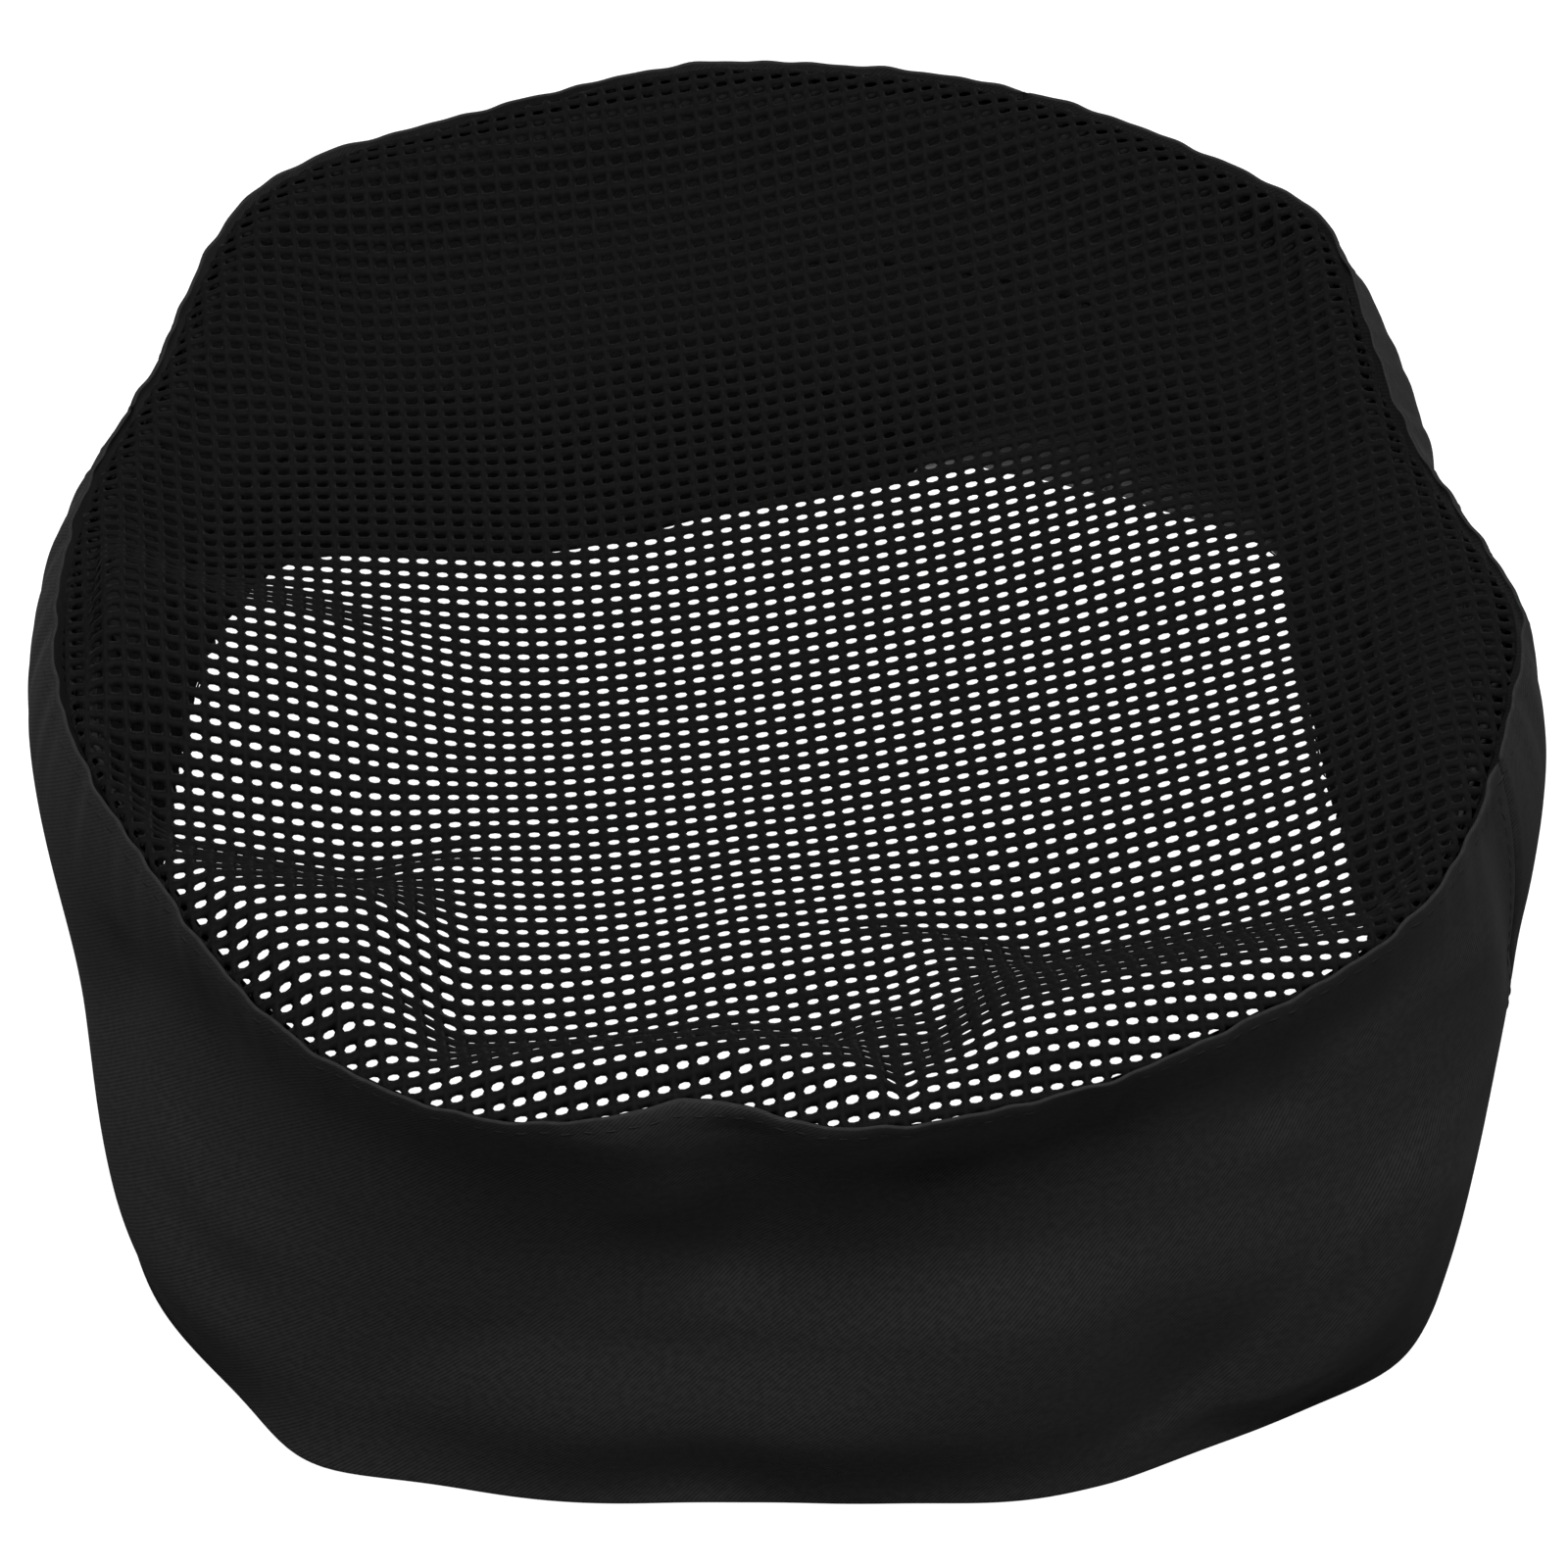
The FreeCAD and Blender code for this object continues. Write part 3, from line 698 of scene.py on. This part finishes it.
def net():
    """The crown: one ring of yarn round every hole, joined to its neighbours."""
    span = 48  # cells to each side of the middle, more than enough to reach the rim
    cells_i, cells_j = np.meshgrid(np.arange(-span, span), np.arange(-span, span))
    cx, cy = net_pattern(cells_i + 0.5, cells_j + 0.5)
    a = np.degrees(np.arctan2(cy, cx))
    beyond = np.hypot(cx, cy) - (seam_radius(a) - CROWN_INSET - EDGE_ROLL)
    kept = beyond < NET_ALLOWANCE
    size = 2 * span + 1

    # Places round a cell, in half pitches from its low corner.
    around = [(0, 0), (1, 0), (2, 0), (2, 1), (2, 2), (1, 2), (0, 2), (0, 1)]
    half = 2 * size
    index = -np.ones((half + 1, half + 1), int)
    places = []
    rims = []
    for j, i in zip(*np.nonzero(kept)):
        loop = []
        for di, dj in around:
            gi, gj = 2 * i + di, 2 * j + dj
            if index[gi, gj] < 0:
                index[gi, gj] = len(places)
                places.append((gi, gj))
            loop.append(index[gi, gj])
        rims.append(loop)
    places = np.array(places, float)
    rims = np.array(rims)
    gi, gj = places[:, 0] / 2 - span, places[:, 1] / 2 - span
    x, y = net_pattern(gi, gj)
    cross = (places[:, 0] % 2 == 0) & (places[:, 1] % 2 == 0)
    rib = places[:, 0] % 2 == 0
    thick = NET_THICKNESS * np.where(cross, 0.5, np.where(rib, 0.46, 0.4))
    top = crown(x, y, thick)
    bottom = crown(x, y, -thick)

    jj, ii = np.nonzero(kept)
    ci, cj = ii - span + 0.5, jj - span + 0.5
    wobble = np.random.default_rng(11)
    grow = 1 + HOLE_SPREAD * wobble.standard_normal((len(ci), 1))
    c = HOLE_CORNER
    shape_u = np.array([-c, 0, c, 1, c, 0, -c, -1])
    shape_v = np.array([-c, -1, -c, 0, c, 1, c, 0])
    closing = slack(*net_pattern(ci, cj))[:, None]
    wide = HOLE_WIDTH / COLUMN_PITCH / 2 * (1 - CLOSED_WIDTH * closing)
    long = HOLE_LENGTH / ROW_PITCH / 2 * (1 - CLOSED_LENGTH * closing)
    hole_i = ci[:, None] + grow * shape_u * wide
    hole_j = cj[:, None] + grow * shape_v * long
    hx, hy = net_pattern(hole_i, hole_j)
    holes = crown(hx, hy, -0.04)

    count = len(top)
    points = np.concatenate([top, bottom, holes.reshape(-1, 3)])
    first_hole = 2 * count
    faces = []
    present = {(int(i), int(j)) for j, i in zip(jj, ii)}
    sides = [(0, -1), (0, -1), (1, 0), (1, 0), (0, 1), (0, 1), (-1, 0), (-1, 0)]
    for n, loop in enumerate(rims):
        h = first_hole + 8 * n
        here = (int(ii[n]), int(jj[n]))
        for k in range(8):
            k2 = (k + 1) % 8
            b, b2 = int(loop[k]), int(loop[k2])
            faces.append((b, b2, h + k2, h + k))
            faces.append((b2 + count, b + count, h + k, h + k2))
            side = sides[k]
            if (here[0] + side[0], here[1] + side[1]) not in present:
                faces.append((b2, b, b + count, b2 + count))
    flat_x = np.concatenate([x, x, hx.ravel()])
    flat_y = np.concatenate([y, y, hy.ravel()])
    uv = np.stack(crown_axes(flat_x, flat_y), axis=-1)
    mesh("mesh_crown_net", points, faces, NET, uv, nodes=("crown_mesh",))


net()


# ---------------------------------------------------------------- flat strips of cloth
SOFT_END = 2.0  # steps over which a strip's ends are rounded
SOFT_EDGE = 0.8  # mm over which its long edges are


def strip(name, along, low, high, place, thick, material, nodes, body="cap", rows=14):
    """A strip with softly rounded edges.

    along runs down its length, low and high bound its width at each step, and
    place(along, across, out) puts a point on the cap. thick is a number or one per step.
    """
    along = np.asarray(along, float)
    low = low + 0 * along
    high = high + 0 * along
    thick = thick + 0 * along
    spread = (1 - np.cos(np.linspace(0, math.pi, rows))) / 2
    across = low[:, None] + (high - low)[:, None] * spread[None, :]
    steps = len(along)
    end = np.minimum(np.arange(steps), steps - 1 - np.arange(steps))
    end = np.clip(end / SOFT_END, 0, 1)
    edge = np.minimum(across - low[:, None], high[:, None] - across)
    edge = np.clip(edge / SOFT_EDGE, 0, 1)
    soft = np.sqrt(1 - (1 - edge) ** 2) * np.sqrt(1 - (1 - end[:, None]) ** 2)
    up = thick[:, None] * (0.5 + 0.5 * soft)
    down = thick[:, None] * (0.5 - 0.5 * soft)
    run = along[:, None] + 0 * across
    top = place(run, across, up)
    bottom = place(run, across, down)
    points = np.concatenate([top.reshape(-1, 3), bottom.reshape(-1, 3)])
    half = steps * rows
    faces = grid_faces(steps, rows)
    faces += [tuple(half + k for k in face[::-1]) for face in grid_faces(steps, rows)]
    rim = [i * rows for i in range(steps)]
    rim += [(steps - 1) * rows + j for j in range(1, rows)]
    rim += [i * rows + rows - 1 for i in range(steps - 2, -1, -1)]
    rim += [j for j in range(rows - 2, 0, -1)]
    for k, here in enumerate(rim):
        after = rim[(k + 1) % len(rim)]
        faces.append((here, after, after + half, here + half))
    uv = np.stack([run * FOLD_GIRTH, across], axis=-1).reshape(-1, 2)
    uv = np.concatenate([uv, uv])
    return mesh(name, points, faces, material, uv, body=body, nodes=nodes)


def on_band(base):
    """Places outside the band; out counts outwards."""
    return lambda a, z, out: band(a, z, base + out)


def rounded_end(along, end, low, high, radius):
    """The two edges of a strip whose corners are rounded at one end; degrees along."""
    away = np.abs(along - end) * FOLD_GIRTH
    cut = radius - np.sqrt(np.clip(radius**2 - np.clip(radius - away, 0, None) ** 2, 0, None))
    return low + cut, high - cut


def end_spaced(first, last, count):
    """Steps from first to last, closer together near the first."""
    return first + (last - first) * np.linspace(0, 1, count) ** 1.7


# The sweatband hangs inside the hem and stops either side of the fly.
def sweatband_place(a, z, out):
    """Places on the sweatband, which follows the lifted hem and sways a little."""
    sway = 0.15 + 0.15 * np.sin(np.radians(11 * a)) * np.clip(z / 30, 0, 1)
    return band(a, z + hem_height(a) * (1 - z / 60), -CLOTH - 0.15 - sway * z / 30 - out)


strip(
    "towelling_sweatband",
    along=np.linspace(112, 439, 420),
    low=1.5,
    high=34.0,
    place=sweatband_place,
    thick=1.1,
    material=TOWELLING,
    nodes=("sweatband",),
)


# The fly: the right flap's doubled end, which runs on behind the left flap and climbs.
def fly_edge(a):
    """Height of the fly's lower edge."""
    climb = np.clip((a - 91) / 16, 0, 1)
    return 0.8 + hem_height(a) * 0.9 + 24 * climb**1.3


fly_along = np.linspace(82, 109, 60)
strip(
    "fly_flap_twill",
    along=fly_along,
    low=fly_edge(fly_along),
    high=49.0,
    place=lambda a, z, out: band(a, z, -CLOTH - 0.12 - out),
    thick=1.1,
    material=TWILL,
    nodes=("fly_flap",),
    rows=24,
)

# Loop tape on the outside of the right flap, hook tape and the closure tab over it.
strip(
    "loop_tape_pile",
    along=np.linspace(60, 83.5, 50),
    low=8.0,
    high=34.0,
    place=on_band(0.1),
    thick=0.6,
    material=PILE,
    nodes=("loop_tape",),
)
strip(
    "hook_tape_pad",
    along=np.linspace(64.5, 81.5, 40),
    low=8.5,
    high=33.5,
    place=on_band(0.75),
    thick=0.5,
    material=HOOKS,
    nodes=("hook_tape",),
    body="closure_tab",
)

TAB_FREE_END, TAB_BEND, TAB_SEWN_END = 62.0, 97.2, 106.9  # azimuths
TAB_LIFT = 0.15  # the tab's root stands this far off the band
TAB_OVER_TAPES = 1.25  # and its free part this much further, over the tapes
tab_along = np.concatenate(
    [end_spaced(TAB_FREE_END, 72, 14)[:-1], np.linspace(72, TAB_SEWN_END, 90)]
)
tab_low, tab_high = rounded_end(tab_along, TAB_FREE_END, 4.0, 38.0, 7.0)
sewn = 1 / (1 + np.exp(-(tab_along - TAB_BEND - 0.6) / 0.25))


def tab_strip():
    """One strip for the sewn root and the free tab, which steps out over the tapes between them;
    the strip rides on no body.
    """
    inner = TAB_OVER_TAPES * (1 - sewn)
    curl = 0.9 * bell(tab_along - TAB_FREE_END, 2.2)

    def place(a, z, out):
        base = np.interp(a, tab_along, inner + curl)
        return band(a, z, TAB_LIFT + base + out)

    piece = strip(
        "closure_tab_twill",
        along=tab_along,
        low=tab_low,
        high=tab_high,
        place=place,
        thick=1.1 + 1.2 * sewn,
        material=TWILL,
        nodes=(),
        body=None,
        rows=20,
    )
    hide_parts("closure_tab", "closure_tab_root")
    middle, proud = np.array(21.0), 2.4
    start, end = (band(np.array(a), middle, proud) * MM for a in (98.6, 95.2))
    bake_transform(piece)


tab_strip()


def label_place(a, z, out):
    """The label is sewn at its top and hangs a little clear below."""
    return band(a, z, -CLOTH - 0.1 - 0.5 * np.clip((66 - z) / 26, 0, 1) - out)


strip(
    "satin_label",
    along=np.linspace(174.5, 185.5, 24),
    low=42.5,
    high=67.5,
    place=label_place,
    thick=0.25,
    material=SATIN,
    nodes=("care_label",),
)


def binding_place(a, w, out):
    """The bias tape wraps the net's raw edge, following the way the allowance turns."""
    rim = seam_radius(a) - CROWN_INSET - EDGE_ROLL
    turn = np.radians(allowance_turn(a))
    depth = EDGE_ROLL + (w - 1.0)
    r = rim + EDGE_ROLL * np.sin(turn) + depth * np.cos(turn) - out * np.sin(turn) - 0.5
    z = crown_height(rim * np.cos(np.radians(a)), rim * np.sin(np.radians(a)), a, rim)
    z = z - EDGE_ROLL - depth * np.sin(turn) + out * np.cos(turn) - 0.3
    r = r - 0.35 * np.sin(turn)
    a = np.radians(a)
    return np.stack([r * np.cos(a), r * np.sin(a), z], axis=-1)


def closed_strip(name, low, high, place, thick, material, nodes):
    """A strip that runs all the way round the cap."""
    count, rows = 720, 10
    a = np.linspace(0, 360, count, endpoint=False)
    spread = np.linspace(0, 1, rows)
    loop_w = np.concatenate([spread, spread[::-1]])
    loop_out = np.concatenate([np.ones(rows), np.zeros(rows)])
    loop_out[[0, rows - 1, rows, -1]] = [0.75, 0.75, 0.25, 0.25]
    run = a[:, None] + 0 * loop_w[None, :]
    across = low + (high - low) * loop_w[None, :] + 0 * run
    points = place(run, across, thick * loop_out[None, :] + 0 * run)
    faces = grid_faces(count, 2 * rows, close_rows=True, close_columns=True)
    uv = np.stack([run * FOLD_GIRTH, across + 20 * (loop_out[None, :] < 0.5)], axis=-1)
    mesh(name, points, faces, material, uv, nodes=nodes)


closed_strip(
    "seam_binding_tape",
    low=0.6,
    high=6.4,
    place=binding_place,
    thick=0.5,
    material=TAPE,
    nodes=("seam_binding",),
)


# ---------------------------------------------------------------- stitching
INSIDE_NODES = ("sweatband_thread", "label_thread", "binding_thread")


def stitches(name, paths, nodes, body="cap", length=2.4, gap=0.5, radius=0.17, sink=0.22):
    """Separate stitches along paths.

    Each path is a function from a distance array in mm to points, with its total length.
    The ends of a stitch sink into the cloth by sink mm.
    """
    sides, rings = 6, 7
    facing = -1.0 if nodes[0] in INSIDE_NODES else 1.0
    points, faces, uv = [], [], []
    lean = np.random.default_rng(5)
    for place, total in paths:
        count = max(1, int(total / (length + gap)))
        pitch = total / count
        for n in range(count):
            middle = (n + 0.5) * pitch
            reach = (pitch - gap) / 2
            across = 0.12 * lean.standard_normal()
            steps = np.linspace(-1, 1, rings)
            run = middle + steps * reach
            centre = place(run, across * steps)
            ahead = place(run + 0.1, across * steps)
            along = ahead - centre
            along /= np.linalg.norm(along, axis=1, keepdims=True)
            out = centre * [1, 1, 0]
            out /= np.linalg.norm(out, axis=1, keepdims=True)
            out -= along * np.sum(out * along, axis=1, keepdims=True)
            out /= np.linalg.norm(out, axis=1, keepdims=True)
            side = np.cross(along, out)
            swell = np.sqrt(np.clip(1 - steps**4, 0.12, 1))
            centre = centre - out * (sink * np.abs(steps) ** 3)[:, None] * facing
            start = len(points)
            ring_angles = np.linspace(0, 2 * math.pi, sides, endpoint=False)
            for k in range(rings):
                for angle in ring_angles:
                    offset = math.cos(angle) * out[k] + math.sin(angle) * side[k]
                    points.append(centre[k] + offset * radius * swell[k])
                    uv.append((run[k], angle * radius))
            faces += tube_faces(rings, sides, start)
    mesh(name, points, faces, THREAD, uv, body=body, nodes=nodes)


def level_path(surface, first, last, z):
    """Stitching that runs level between two azimuths, on a place(a, z) surface."""
    total = abs(last - first) * FOLD_GIRTH
    way = 1 if last > first else -1

    def place(s, across):
        a = first + way * s / FOLD_GIRTH
        return surface(a, z(a) + across if callable(z) else z + across + 0 * a)

    return place, total


def upright_path(surface, a, low, high):
    """Stitching that runs up the cap at one azimuth."""

    def place(s, across):
        return surface(a + across / FOLD_GIRTH + 0 * s, low + s)

    return place, high - low


def box_paths(surface, first, last, low, high):
    """Stitching round the four sides of a rectangle."""
    return [
        level_path(surface, first, last, low),
        level_path(surface, first, last, high),
        upright_path(surface, first, low + 0.6, high - 0.6),
        upright_path(surface, last, low + 0.6, high - 0.6),
    ]


def outer(out):
    """The band's outer face, out mm away, as a surface for stitching."""
    return lambda a, z: band(a, z, out)


edge_row = [level_path(outer(-0.02), 0, 360, lambda a: seam_height(a) - 2.3)]
stitches("edge_stitch_row", edge_row, ("edge_stitch_thread",), length=2.3, radius=0.13)
for side, azimuth in (("right", 358.9), ("left", 178.9)):
    rows = [upright_path(outer(0.03), azimuth, 1.5, 84.0)]
    stitches(f"side_seam_stitches_{side}", rows, (f"side_seam_thread_{side}",), radius=0.14)
rows = [upright_path(outer(0.05), 91.3, 50.0, 84.0)]
stitches("centre_back_stitches", rows, ("centre_back_thread",))


TAB_TOP = 2.52  # the tab's outer face, measured from the band's


def tab_surface(out):
    return lambda a, z: band(a, z, TAB_TOP + out)


stitches(
    "tab_root_stitches",
    box_paths(tab_surface(0.03), 99.2, 105.4, 6, 36),
    ("tab_root_thread",),
)
stitches(
    "hook_tape_stitches",
    box_paths(tab_surface(0.03), 65.7, 80.3, 9.8, 32.2),
    ("hook_tape_thread",),
    body="closure_tab",
)
sweat_row = [level_path(lambda a, z: sweatband_place(a, z, 1.35), 113, 438, 3.0)]
stitches("sweatband_stitches", sweat_row, ("sweatband_thread",), length=3.0)
label_row = [level_path(outer(-CLOTH - 0.62), 175, 185, 66.0)]
stitches("label_stitches", label_row, ("label_thread",), length=1.8, radius=0.12)
binding_row = [level_path(lambda a, w: binding_place(a, w, 0.55), 0, 360, 5.2)]
stitches("binding_stitches", binding_row, ("binding_thread",), length=2.6)


def bartack():
    """A dense zigzag bar across the top of the back slit."""
    turns, sides, radius = 26, 6, 0.16
    length, height, foot, proud = 9.0, 1.7, 46.3, 0.22
    s = np.linspace(0, 1, turns * 4 + 1)
    a = 90 + (s - 0.5) * length / FOLD_GIRTH
    zig = np.abs(np.mod(s * turns, 1.0) * 2 - 1) * height + foot
    centre = band(a, zig, proud)
    along = np.gradient(centre, axis=0)
    along /= np.linalg.norm(along, axis=1, keepdims=True)
    out = centre * [1, 1, 0]
    out /= np.linalg.norm(out, axis=1, keepdims=True)
    side = np.cross(along, out)
    side /= np.linalg.norm(side, axis=1, keepdims=True)
    angles = np.linspace(0, 2 * math.pi, sides, endpoint=False)
    points = [
        centre[k] + radius * (math.cos(t) * out[k] + math.sin(t) * side[k])
        for k in range(len(s))
        for t in angles
    ]
    uv = [(s[k] * 60, t) for k in range(len(s)) for t in angles]
    faces = tube_faces(len(s), sides)
    mesh("slit_bartack_zigzag", points, faces, THREAD, uv, nodes=("slit_bartack",))


bartack()


# ---------------------------------------------------------------- stage, light and camera
def glow(look, seen, cast):
    """White emission, bright where the camera sees it and faint where it lights the cap."""
    path = look.node("ShaderNodeLightPath")
    level = look.node("ShaderNodeMapRange")
    level.inputs["To Min"].default_value = cast
    level.inputs["To Max"].default_value = seen
    look.join(path.outputs["Is Camera Ray"], level.inputs["Value"])
    look.shader.inputs["Emission Color"].default_value = (1, 1, 1, 1)
    look.join(level.outputs["Result"], look.shader.inputs["Emission Strength"])


def floor():
    """The pale table, just below the hem."""
    data = bpy.data.meshes.new("floor")
    half, below = 6.0, -0.0003
    corners = [(x * half, y * half, below) for x, y in ((-1, -1), (1, -1), (1, 1), (-1, 1))]
    data.from_pydata(corners, [], [(0, 1, 2, 3)])
    look = Look("pale floor", grey(0.15), rough=0.9)
    glow(look, 1.0, 0.03)
    look.tint(look.speckle(3.0), grey(0.14), grey(0.16))
    data.materials.append(look.material)
    piece = bpy.data.objects.new("floor", data)
    bpy.context.scene.collection.objects.link(piece)


def softbox(name, where, size, power, aim=(0, 0, 0.05)):
    """A rectangular light that the camera doesn't see; metres and watts."""
    data = bpy.data.lights.new(name, "AREA")
    data.shape = "RECTANGLE"
    data.size, data.size_y = size
    data.energy = power
    lamp = bpy.data.objects.new(name, data)
    lamp.location = where
    look = Vector(aim) - Vector(where)
    lamp.rotation_euler = look.to_track_quat("-Z", "Y").to_euler()
    lamp.visible_camera = False
    bpy.context.scene.collection.objects.link(lamp)


def from_view(across, away, up):
    """A place given from the camera's side: across to its right, away from it, and up."""
    turn = math.radians(VIEW_AZIMUTH)
    return (
        across * math.cos(turn) - away * math.sin(turn),
        across * math.sin(turn) + away * math.cos(turn),
        up,
    )


def cap_place(a, r, z):
    """A place in metres from an azimuth and millimetres out and up."""
    return (r * math.cos(math.radians(a)) * MM, r * math.sin(math.radians(a)) * MM, z * MM)


VIEW_AZIMUTH, VIEW_ELEVATION, VIEW_DISTANCE = 20.0, 48.0, 1.2
AIM_HEIGHT = 0.044
LENS = 193.0

floor()
softbox("key_light", from_view(0.0, -0.42, 1.4), (0.5, 0.4), 29.0)
softbox("top_light", from_view(0.0, 0.35, 1.3), (1.6, 1.2), 2.0)
softbox("left_light", from_view(-1.2, 0.1, 0.7), (1.0, 1.0), 0.5)
softbox("hem_light", cap_place(82, 98, 3), (0.085, 0.004), 0.012, cap_place(82, 110, 4))
softbox("inside_light", (0, 0, 0.024), (0.09, 0.09), 0.06, (0, 0, 1))
softbox("right_light", from_view(1.2, 0.0, 0.6), (1.0, 1.0), 0.5)
softbox("back_light", from_view(0.5, 1.2, 0.6), (1.0, 1.0), 2.0)

world = bpy.data.worlds.new("studio")
bpy.context.scene.world = world
world.use_nodes = True
world_tree = world.node_tree
world_tree.nodes["Background"].inputs["Color"].default_value = (1, 1, 1, 1)
seen_by = world_tree.nodes.new("ShaderNodeLightPath")
strength = world_tree.nodes.new("ShaderNodeMapRange")
strength.inputs["To Min"].default_value = 0.09  # as it lights the cap
strength.inputs["To Max"].default_value = 1.0  # as the camera sees it
world_tree.links.new(seen_by.outputs["Is Camera Ray"], strength.inputs["Value"])
world_tree.links.new(strength.outputs["Result"], world_tree.nodes["Background"].inputs["Strength"])

camera_data = bpy.data.cameras.new("camera")
camera_data.sensor_width = 36.0
camera_data.lens = LENS
camera_data.clip_start = 0.05
camera = bpy.data.objects.new("camera", camera_data)
turn, tilt = math.radians(VIEW_AZIMUTH), math.radians(VIEW_ELEVATION)
back = Vector(
    (
        math.sin(turn) * math.cos(tilt),
        -math.cos(turn) * math.cos(tilt),
        math.sin(tilt),
    )
)
camera.location = Vector((0, 0, AIM_HEIGHT)) + back * VIEW_DISTANCE
camera.rotation_euler = back.to_track_quat("Z", "Y").to_euler()
bpy.context.scene.collection.objects.link(camera)
bpy.context.scene.camera = camera
bpy.context.scene.view_settings.view_transform = "Standard"
